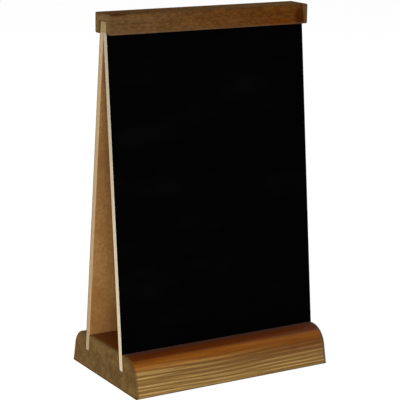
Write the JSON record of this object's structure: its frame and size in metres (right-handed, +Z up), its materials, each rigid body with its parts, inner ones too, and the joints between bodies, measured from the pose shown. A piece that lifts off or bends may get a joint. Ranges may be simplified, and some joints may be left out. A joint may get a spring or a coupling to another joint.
{
  "type": "menu chalkboard easel",
  "caption": "Double-sided table-top menu chalkboard: black-faced boards lean together in a kerfed wooden base block and under a grooved cap rail.",
  "frame": {"origin": "middle of the underside of the base block, on the table", "axes": "+X along the length of the base block, +Y from the front board to the rear board, +Z up"},
  "size_m": [0.1514, 0.0922, 0.2459],
  "materials": {
    "base_wood": "satin brown stain and varnish on softwood",
    "rail_wood": "matt dark brown stain on softwood",
    "board_core": "bare fibreboard, pale sawn edges",
    "writing_face": "matt black chalk surface"
  },
  "bodies": {
    "base": {"base_block": "base_wood"},
    "rail": {"top_rail": "rail_wood"},
    "front_board": {"front_board_core": "board_core", "front_writing_face": "writing_face"},
    "rear_board": {"rear_board_core": "board_core", "rear_writing_face": "writing_face"}
  },
  "joints": [
    {"name": "rail_lift", "type": "slide", "parent": "base", "child": "rail", "axis": [0, 0, 1], "range_m": [0, 0.02]},
    {"name": "front_board_slide", "type": "slide", "parent": "base", "child": "front_board", "axis": [1, 0, 0], "range_m": [-0.155, 0.155]},
    {"name": "rear_board_slide", "type": "slide", "parent": "base", "child": "rear_board", "axis": [1, 0, 0], "range_m": [-0.155, 0.155]}
  ]
}
